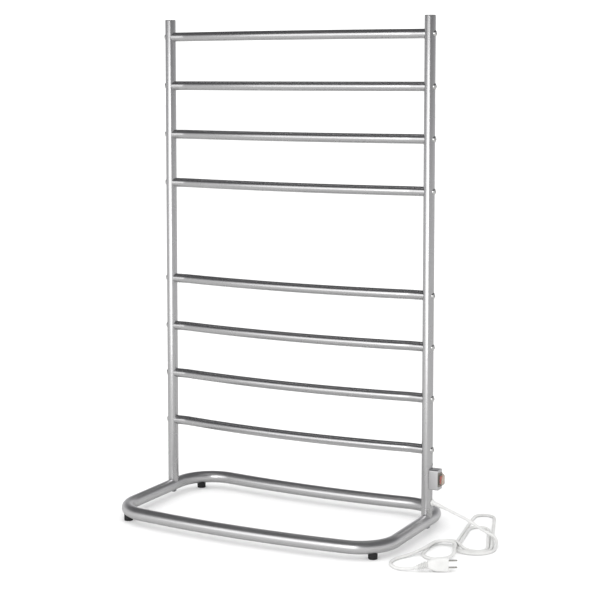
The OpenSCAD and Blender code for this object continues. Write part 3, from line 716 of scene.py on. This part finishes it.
class RACK_OT_posts(bpy.types.Operator):
    """Make the two posts, shaped to the base at their feet, and their flat caps"""

    bl_idname = "rack.posts"
    bl_label = "Posts"

    def execute(self, context):
        made = finishes()
        edge = context.scene.rack_sizes.edge
        for side, axis in (("left", LEFT_AXIS), ("right", RIGHT_AXIS)):
            rings = self.foot(axis, edge)
            for z, inset in ((POST_TOP - edge, 0), (POST_TOP - edge * 0.3, edge * 0.3), (POST_TOP, edge)):
                rings.append(self.ring(axis, lambda c, z=z: z, POST_RADIUS - inset))
            points, faces = skin(rings)
            post = new_piece(f"post_tube_{side}", points, faces, made["post"])
            settle(post, "satin_tube", f"{side}_post")
            self.cap(side, axis, made["cap"])
        return {"FINISHED"}

    def ring(self, axis, height, radius, n=64):
        ring = []
        for k in range(n):
            t = 2 * math.pi * k / n
            c, s = math.cos(t), math.sin(t)
            ring.append(Vector((axis.x + radius * c, axis.y + radius * s, height(c))))
        return ring

    def foot(self, axis, edge):
        """Rings of the post's foot, from inside the base tube up round its broken edge."""
        def saddle(lift):
            def height(c):
                return BASE_HEIGHT + math.sqrt(BASE_RADIUS ** 2 - (POST_RADIUS * c) ** 2) + lift
            return height
        inside = self.ring(axis, lambda c: BASE_HEIGHT, POST_RADIUS - 2.2 * edge)
        return [
            inside,
            self.ring(axis, saddle(-0.3 * edge), POST_RADIUS - 2.2 * edge),
            self.ring(axis, saddle(0.2 * edge), POST_RADIUS - 0.9 * edge),
            self.ring(axis, saddle(0.6 * edge), POST_RADIUS - 0.3 * edge),
            self.ring(axis, saddle(1.3 * edge), POST_RADIUS),
            self.ring(axis, lambda c: BASE_HEIGHT + 0.03, POST_RADIUS),
        ]

    def cap(self, side, axis, material):
        r = POST_RADIUS
        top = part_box(f"{side}_post_cap")[1].z
        start = Vector((axis.x, axis.y, POST_TOP))
        t = top - POST_TOP
        profile = (
            (-0.008, 0), (-0.008, r - 1.8 * MM), (0.00002, r - 1.6 * MM), (0.00002, r - 0.5 * MM),
            (0.0002, r - 0.15 * MM), (0.0004, r), (t - 0.0006, r), (t - 0.0002, r - 0.0002),
            (t, r - 0.0007), (t, 0))
        points, faces = skin(turned(start, Vector((0, 0, 1)), profile, 64))
        settle(new_piece(f"post_end_cap_{side}", points, faces, material), "end_cap", f"{side}_post_cap")


class RACK_OT_rungs(bpy.types.Operator):
    """Make one bowed rung with ends shaped to the posts and repeat it down the posts"""

    bl_idname = "rack.rungs"
    bl_label = "Rungs"

    def execute(self, context):
        sizes = context.scene.rack_sizes
        made = finishes()
        half, line = self.half_line(sizes)
        right = self.rings(line, half, sizes.edge)
        points, faces = skin([self.mirrored(ring) for ring in reversed(right[1:])] + right)
        pattern = new_piece("rung_pattern", points, faces, made["rung"])
        rungs = down_the_posts("rung_tubes", pattern, made["rung"])
        settle(rungs, "satin_tube", *RUNG_NODES)
        return {"FINISHED"}

    def half_line(self, sizes):
        """Centre line of the right half as (x, y, heading), from the middle to the stub."""
        reach = HALF_GAP - POST_RADIUS - sizes.rung_stub
        turn = math.asin(reach / (sizes.rung_bow + sizes.rung_bend))
        sag = (sizes.rung_bow + sizes.rung_bend) * (1 - math.cos(turn))
        line = []
        for k in range(17):
            a = turn * k / 16
            line.append((sizes.rung_bow * math.sin(a), sizes.rung_bow * (1 - math.cos(a)) - sag, a))
        for k in range(1, 9):
            a = turn * (1 - k / 8)
            line.append((reach - sizes.rung_bend * math.sin(a), -sizes.rung_bend * (1 - math.cos(a)), a))
        return reach, line

    def rings(self, line, reach, edge, n=40):
        rings = []
        for x, y, heading in line:
            across = Vector((math.sin(heading), -math.cos(heading), 0))
            rings.append(circle(CENTRE + Vector((x, y, 0)), across, Vector((0, 0, 1)), RUNG_RADIUS, n))
        for lift, inset in ((1.3, 0), (0.6, 0.3), (0.2, 0.9), (-0.3, 2.2)):
            rings.append(self.end(lift * edge, RUNG_RADIUS - inset * edge, n))
        deep = HALF_GAP - POST_RADIUS + 4 * MM
        back = Vector((0, -1, 0))
        inside = RUNG_RADIUS - 2.2 * edge
        rings.append(circle(CENTRE + Vector((deep, 0, 0)), back, Vector((0, 0, 1)), inside, n))
        return rings

    def end(self, lift, radius, n):
        """Ring that lies on the post, or a little short of it."""
        ring = []
        for k in range(n):
            t = 2 * math.pi * k / n
            y = radius * math.cos(t)
            x = HALF_GAP - math.sqrt(POST_RADIUS ** 2 - y * y) - lift
            ring.append(CENTRE + Vector((x, -y, radius * math.sin(t))))
        return ring

    def mirrored(self, ring):
        return [Vector((2 * CENTRE.x - p.x, p.y, p.z)) for p in ring]


class RACK_OT_rung_fixings(bpy.types.Operator):
    """Make a domed socket screw and its saddle washer, and repeat them at every rung"""

    bl_idname = "rack.rung_fixings"
    bl_label = "Rung screws and washers"

    def execute(self, context):
        made = finishes()
        for side, axis, out in (("left", LEFT_AXIS, -1), ("right", RIGHT_AXIS, 1)):
            face = Vector((axis.x + out * (POST_RADIUS + 0.6 * MM), axis.y, 0))
            way = Vector((out, 0, 0))
            screw = self.screw(face, way, made["bright"])
            row = down_the_posts(f"rung_screw_row_{side}", screw, made["bright"], 50)
            settle(row, "bright_screw", f"{side}_rung_screws")
            washer = self.washer(axis, way, made["bright"])
            row = down_the_posts(f"saddle_washer_row_{side}", washer, made["bright"], 50)
            settle(row, "bright_screw", f"{side}_saddle_washers")
        return {"FINISHED"}

    def screw(self, face, way, material):
        """Dome with a hexagon socket, and the shank behind it."""
        n = 36
        dome, height, flat = 5.75 * MM, 2.2 * MM, 2.0 * MM
        profile = [(-36 * MM, 2.4 * MM), (0.0, 2.5 * MM), (0.0, dome - 0.3 * MM), (0.15 * MM, dome)]
        for k in range(1, 8):
            r = dome - (dome - 2.5 * MM) * k / 7
            profile.append((0.15 * MM + (height - 0.15 * MM) * (1 - (r / dome) ** 2), r))
        rings = turned(face, way, profile, n)
        across = way.orthogonal().normalized()
        up = way.cross(across)
        for depth, grow in ((profile[-1][0], 1.03), (profile[-1][0] - 0.1 * MM, 1.0), (0.5 * MM, 1.0)):
            ring = []
            for k in range(n):
                t = 2 * math.pi * k / n
                spoke = across * math.cos(t) + up * math.sin(t)
                ring.append(face + way * depth + spoke * grow * self.hexagon(t, flat))
            rings.append(ring)
        points, faces = skin(rings)
        return new_piece("screw_pattern", points, faces, material, 50)

    def hexagon(self, t, flat):
        """Distance from the middle to the side of a hexagon at an angle."""
        return flat / math.cos((t % (math.pi / 3)) - math.pi / 6)

    def washer(self, axis, way, material):
        """Round washer whose back is hollowed to the post."""
        n, out, r, hole = 40, way.x, 6.25 * MM, 2.6 * MM
        top = POST_RADIUS + 0.6 * MM

        def ring(radius, depth):
            points = []
            for k in range(n):
                t = 2 * math.pi * k / n
                y, z = radius * math.cos(t), radius * math.sin(t)
                x = depth if depth else math.sqrt(POST_RADIUS ** 2 - y * y) + 0.02 * MM
                points.append(Vector((axis.x + out * x, axis.y + y, z)))
            return points

        soft = 0.2 * MM
        rings = [
            ring(hole, 0), ring(r * 0.7, 0), ring(r, 0), ring(r, top - soft), ring(r - soft, top),
            ring(hole, top)]
        points, faces = skin(rings, closed=True)
        return new_piece("washer_pattern", points, faces, material, 50)


class RACK_OT_base(bpy.types.Operator):
    """Make the bent-tube base loop and its bolts"""

    bl_idname = "rack.base"
    bl_label = "Base loop"

    def execute(self, context):
        sizes = context.scene.rack_sizes
        made = finishes()
        points, faces = skin(along(self.loop(sizes), BASE_RADIUS, 48, closed=True), closed=True)
        settle(new_piece("base_tube_loop", points, faces, made["base"]), "satin_tube", "base_frame")
        for side in ("left", "right"):
            bolt = from_frame(f"{side}_base_bolt", f"base_bolt_{side}", made["zinc"], 0.0002)
            settle(bolt, "zinc_screw", f"{side}_base_bolt")
        return {"FINISHED"}

    def loop(self, sizes):
        """Centre line of the loop, once round, from the back of the right side."""
        low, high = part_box("base_frame")
        r = sizes.base_corner
        half = (high.x - low.x) / 2 - BASE_RADIUS
        x = half - r
        back = high.y - BASE_RADIUS - r - CENTRE.y
        front_turn = math.asin(x / (sizes.base_bow - r))
        front = low.y + BASE_RADIUS - CENTRE.y + sizes.base_bow - (sizes.base_bow - r) * math.cos(front_turn)
        back_turn = math.asin(x / (sizes.base_bow + r))
        right = []
        bow = sizes.base_bow
        centre = back + (bow + r) * math.cos(back_turn)
        for k in range(16):
            a = back_turn * k / 16
            right.append((bow * math.sin(a), centre - bow * math.cos(a)))
        for k in range(25):
            a = math.pi / 2 + back_turn - (math.pi / 2 + back_turn) * k / 24
            right.append((x + r * math.cos(a), back + r * math.sin(a)))
        for k in range(1, 4):
            right.append((half, back + (front - back) * k / 4))
        for k in range(25):
            a = -(math.pi / 2 - front_turn) * k / 24
            right.append((x + r * math.cos(a), front + r * math.sin(a)))
        centre = front + (bow - r) * math.cos(front_turn)
        for k in range(1, 17):
            a = front_turn * (1 - k / 16)
            right.append((bow * math.sin(a), centre - bow * math.cos(a)))
        left = [(-px, py) for px, py in reversed(right[1:-1])]
        return [CENTRE + Vector((px, py, BASE_HEIGHT)) for px, py in right + left]


class RACK_OT_feet(bpy.types.Operator):
    """Make the four rubber feet, cupped to the bends of the base, and their screws"""

    bl_idname = "rack.feet"
    bl_label = "Feet"

    def execute(self, context):
        made = finishes()
        parts = [self.foot(middle(node)) for node in FOOT_NODES]
        points, faces = several(parts)
        settle(new_piece("rubber_feet", points, faces, made["rubber"]), "foot_rubber", *FOOT_NODES)
        screws = from_frame("foot_screws", "foot_fixing_screws", made["zinc"], 0.0002)
        settle(screws, "zinc_screw", "foot_screws")
        return {"FINISHED"}

    def foot(self, place):
        """Rings from the screw recess, round the tread and wall, to the cup."""
        centre = Vector((place.x, place.y, 0))
        flat = centre - CENTRE
        slope = math.atan2(flat.y, flat.x)
        bend = math.atan2(1 if flat.y > 0 else -1, 1 if flat.x > 0 else -1) + math.pi / 2
        n, r = 48, 9 * MM
        rows = (
            (4.6 * MM, 5.0), (4.7 * MM, 0.35), (5.1 * MM, 0.0), (r - 1.5 * MM, 0.0), (r - 0.9 * MM, 0.15),
            (r - 0.4 * MM, 0.6), (r, 1.6), (r, 3.0), (r - 0.45 * MM, 3.4), (r - 0.45 * MM, 4.0), (r, 4.4),
            (r, 9.0), (r - 0.2 * MM, None), (r - 1.2 * MM, None))
        rings = [[Vector((centre.x + radius * math.cos(t), centre.y + radius * math.sin(t),
                          self.height(z, radius, t - bend)))
                  for t in (slope + 2 * math.pi * k / n for k in range(n))] for radius, z in rows]
        return rings

    def height(self, z, radius, turn):
        """Given height, or that of the cup, which follows the tube above."""
        if z is not None:
            return z * MM
        off = radius * math.sin(turn)
        return BASE_HEIGHT - math.sqrt((BASE_RADIUS - 0.2 * MM) ** 2 - off * off)


class RACK_OT_switch(bpy.types.Operator):
    """Make the switch box, its seal, the rocker switch and the wiring clip's screw"""

    bl_idname = "rack.switch"
    bl_label = "Switch"

    def execute(self, context):
        made = finishes()
        box = from_frame("switch_housing", "switch_box", made["box"], 0.0004, 35)
        settle(box, "brushed_box", "switch_housing")
        seal = from_frame("switch_gasket", "switch_box_seal", made["rubber"])
        settle(seal, "seal_rubber", "switch_gasket")
        module = from_frame("switch_body", "rocker_switch_module", made["black"], 0.00025, 35)
        settle(module, "black_plastic", "switch_body")
        rocker = from_frame("switch_rocker", "rocker_key", made["rocker"], 0.0003, 35)
        settle(rocker, "red_plastic", "switch_rocker", body="rocker")
        screw = from_frame("wiring_clip_screw", "wiring_clip_fixing", made["bright"], 0.0, 50)
        settle(screw, "bright_screw", "wiring_clip_screw")
        return {"FINISHED"}


class RACK_OT_cover(bpy.types.Operator):
    """Make the clear splash cover over the rocker"""

    bl_idname = "rack.cover"
    bl_label = "Splash cover"

    def execute(self, context):
        made = finishes()
        low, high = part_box("splash_cover")
        size = high - low
        centre = (low + high) / 2
        outside = (
            (0.0, 0, 3.8), (0.05, 0, 4), (1.6, 0, 4), (2.0, 0.25, 3.9), (2.3, 0.8, 3.8), (7.4, 3.9, 2.6),
            (8.1, 4.5, 2.2), (8.45, 5.3, 1.8), (8.5, 6.2, 1.4))
        inside = (
            (7.3, 6.4, 1.2), (7.2, 5.6, 1.6), (6.9, 5.0, 1.9), (2.6, 2.4, 2.6), (1.9, 1.5, 2.9),
            (1.4, 1.1, 2.9), (0.0, 1.1, 2.9))
        rings = []
        for depth, inset, radius in outside + inside:
            outline = rounded_box(size.y - 2 * inset * MM, size.z - 2 * inset * MM, radius * MM)
            x = low.x + depth * MM
            rings.append([Vector((x, centre.y + y, centre.z + z)) for y, z in outline])
        points, faces = self.shell(rings, len(outside))
        cover = new_piece("splash_cover_moulding", points, faces, made["cover"], 60)
        settle(cover, "clear_cover", "splash_cover")
        return {"FINISHED"}

    def shell(self, rings, outer):
        """Outer and inner skins, joined at the rim, each with its own face in front."""
        n = len(rings[0])
        points = [p for ring in rings for p in ring]
        faces = []
        for i in range(len(rings)):
            j = (i + 1) % len(rings)
            if i == outer - 1:
                faces.append([i * n + k for k in range(n)])
                faces.append([j * n + k for k in reversed(range(n))])
                continue
            for k in range(n):
                m = (k + 1) % n
                faces.append([i * n + k, i * n + m, j * n + m, j * n + k])
        return points, faces


class RACK_OT_gland(bpy.types.Operator):
    """Make the white gland where the lead leaves the post"""

    bl_idname = "rack.gland"
    bl_label = "Lead gland"

    def execute(self, context):
        made = finishes()
        face = at(HALF_GAP / MM + 13.5, 0, 60)
        out = Vector((1, 0, 0))
        droop = math.radians(18)
        way = Vector((math.cos(droop), 0, -math.sin(droop)))
        flange = (
            (-8.5, 0), (-8.5, 5.4), (-2.4, 5.4), (-2.4, 6.7), (-2.0, 7.1), (-0.9, 7.2), (-0.4, 7.0),
            (-0.1, 6.4), (0.0, 5.6), (0.0, 0))
        sleeve = [(-3, 0), (-3, 4.9), (0, 4.95)]
        for k in range(5):
            start, r = 1.6 + 3.5 * k, 4.85 - 0.22 * k
            sleeve += [(start, r), (start + 0.35, r - 0.75), (start + 1.1, r - 0.8), (start + 1.5, r - 0.1),
                       (start + 3.0, r - 0.18)]
        sleeve += [(19.6, 3.85), (19.9, 3.7), (20, 3.4), (20, 0)]
        parts = [turned(face, out, [(a * MM, r * MM) for a, r in flange]),
                 turned(face, way, [(a * MM, r * MM) for a, r in sleeve])]
        points, faces = several(parts)
        gland = new_piece("lead_gland", points, faces, made["plug"], 50)
        settle(gland, "white_vinyl", "cord_gland")
        return {"FINISHED"}


class RACK_OT_lead(bpy.types.Operator):
    """Make the mains lead on the floor in its two loops"""

    bl_idname = "rack.lead"
    bl_label = "Mains lead"

    def execute(self, context):
        made = finishes()
        diameter = context.scene.rack_sizes.lead_diameter
        line = lead_line()
        points, faces = skin(along(line, diameter / 2, 16))
        lead = new_piece("mains_lead", points, faces, made["lead"])
        settle(lead, "white_vinyl", "power_cord_lead", "cord_hank", "power_cord_tail")
        return {"FINISHED"}


class RACK_OT_plug(bpy.types.Operator):
    """Make the moulded plug, its two blades and its ribbed strain relief"""

    bl_idname = "rack.plug"
    bl_label = "Plug"

    def execute(self, context):
        made = finishes()
        yaw = math.radians(32)
        self.spot = at(407, -217, 13)
        self.turn = Matrix.Rotation(yaw, 3, "Z")
        self.body(made["plug"])
        self.blades(made["blade"])
        self.relief(made["plug"])
        return {"FINISHED"}

    def put(self, x, y, z):
        """Place given in millimetres from the middle of the plug."""
        return self.spot + self.turn @ (Vector((x, y, z)) * MM)

    def body(self, material):
        """Body that grows from a round neck to a rounded block with dished sides."""
        rows = (
            (-19.0, 12.0, 13.4, 5.4), (-18.7, 12.6, 14.2, 5.6), (-18, 13, 15, 5.6), (-13, 14.2, 17.6, 5.4),
            (-9, 15.2, 20.6, 5.0), (-5, 16.2, 23.4, 4.6), (-1, 16.2, 24.6, 4.4), (4, 15.2, 25.2, 4.2),
            (9, 15.4, 25.6, 4.2), (13, 16.6, 25.9, 4.2), (17.6, 17.0, 26.0, 4.2), (18.6, 16.6, 25.6, 4.0),
            (19.0, 15.6, 24.6, 3.6))
        rings = [[self.put(x, y / MM, z / MM) for y, z in rounded_box(w * MM, h * MM, r * MM, 8)]
                 for x, w, h, r in rows]
        points, faces = skin(rings)
        settle(new_piece("plug_moulding", points, faces, material, 50), "white_vinyl", "plug_body")

    def blades(self, material):
        """Two flat blades with rounded tips and a hole in each."""
        shape = bmesh.new()
        for level in (-6.35, 6.35):
            outline = [
                (11, -3.15), (33.2, -3.15), (35.2, -2.5), (36, -1.2), (36, 1.2), (35.2, 2.5),
                (33.2, 3.15), (11, 3.15)]
            turns = [math.radians(30 * k) for k in range(12)]
            hole = [(31.5 + 1.6 * math.cos(t), 1.6 * math.sin(t)) for t in turns]
            self.plate(shape, outline, hole, level, 1.5)
        mesh = bpy.data.meshes.new("plug_blade_pair")
        shape.to_mesh(mesh)
        shape.free()
        piece = placed("plug_blade_pair", mesh)
        tidy(piece, 35)
        mesh.materials.append(material)
        settle(piece, "brass", "plug_blades")

    def plate(self, shape, outline, hole, level, thick):
        """Flat plate between two heights with a hole through it."""
        edges = []
        for loop in (outline, hole):
            corners = [shape.verts.new(self.put(x, y, level - thick / 2)) for x, y in loop]
            edges += [shape.edges.new((a, b)) for a, b in zip(corners, corners[1:] + corners[:1])]
        filled = bmesh.ops.triangle_fill(shape, use_beauty=True, edges=edges)
        faces = [g for g in filled["geom"] if isinstance(g, bmesh.types.BMFace)]
        raised = bmesh.ops.extrude_face_region(shape, geom=faces, use_keep_orig=True)
        moved = [g for g in raised["geom"] if isinstance(g, bmesh.types.BMVert)]
        bmesh.ops.translate(shape, verts=moved, vec=Vector((0, 0, thick * MM)))

    def relief(self, material):
        """Tapered strain relief, and the ribs round it."""
        droop = math.radians(14)
        start = self.put(-18.5, 0, 0)
        way = self.turn @ Vector((-math.cos(droop), 0, -math.sin(droop)))
        profile = [
            (-1, 0), (-1, 5.0), (0, 5.0), (4, 4.8), (20, 3.8), (23, 3.6), (23.9, 3.4), (24.3, 3.05),
            (24.4, 0)]
        points, faces = skin(turned(start, way, [(a * MM, r * MM) for a, r in profile], 32))
        settle(new_piece("plug_relief", points, faces, material, 50), "white_vinyl", "plug_strain_relief")
        tree = bpy.data.node_groups.get("Row of ribs") or rib_tree()
        ribs = grown(
            "plug_relief_ribs", tree, 60, Ribs=6, Spacing=3.3 * MM, First_radius=6.9 * MM,
            Last_radius=4.7 * MM, Rib_radius=1.05 * MM, Material=material)
        spin = Vector((1, 0, 0)).rotation_difference(way).to_matrix().to_4x4()
        ribs.data.transform(Matrix.Translation(start + way * 2.6 * MM) @ spin)
        settle(ribs, "white_vinyl")


class RACK_OT_inner(bpy.types.Operator):
    """Give the pieces that stay as they are in the frame their finishes"""

    bl_idname = "rack.inner"
    bl_label = "Inner pieces"

    FINISH = {
        "left_rung_inserts": "zinc", "right_rung_inserts": "zinc", "left_foot_plug": "zinc",
        "right_foot_plug": "zinc", "switch_housing_screws": "bright", "rocker_pivot": "bright",
        "indicator_lamp": "lamp", "switch_terminals": "brass", "wiring_clip": "nylon",
        "heating_cable": "silicone", "return_wire": "blue", "thermal_cutout": "sleeve",
        "wire_crimps": "brass", "supply_wires": "brown",
    }

    def execute(self, context):
        made = finishes()
        for name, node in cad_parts.items():
            if node.hide_render:
                continue
            if name not in self.FINISH:
                raise ValueError(f"{name} has no finish")
            node.data.materials.clear()
            node.data.materials.append(made[self.FINISH[name]])
        return {"FINISHED"}


STEPS = (
    RACK_OT_stage, RACK_OT_plug, RACK_OT_lead, RACK_OT_gland, RACK_OT_posts, RACK_OT_rungs,
    RACK_OT_rung_fixings, RACK_OT_base, RACK_OT_feet, RACK_OT_switch, RACK_OT_cover, RACK_OT_inner)


class RACK_PT_panel(bpy.types.Panel):
    """Lists the steps that build the rack"""

    bl_idname = "RACK_PT_panel"
    bl_label = "Towel warmer rack"
    bl_space_type = "VIEW_3D"
    bl_region_type = "UI"
    bl_category = "Rack"

    def draw(self, context):
        column = self.layout.column()
        for step in STEPS:
            column.operator(step.bl_idname, text=step.bl_label)
        for group in (context.scene.rack_sizes, context.scene.rack_finishes):
            for key in group.__annotations__:
                column.prop(group, key)


CLASSES = (RackSizes, RackFinishes, *STEPS, RACK_PT_panel)


def register():
    for cls in CLASSES:
        bpy.utils.register_class(cls)
    bpy.types.Scene.rack_sizes = PointerProperty(type=RackSizes)
    bpy.types.Scene.rack_finishes = PointerProperty(type=RackFinishes)


def unregister():
    del bpy.types.Scene.rack_finishes
    del bpy.types.Scene.rack_sizes
    for cls in reversed(CLASSES):
        bpy.utils.unregister_class(cls)


def main():
    register()
    for step in STEPS:
        group, name = step.bl_idname.split(".")
        getattr(getattr(bpy.ops, group), name)()


if __name__ == "__main__":
    main()
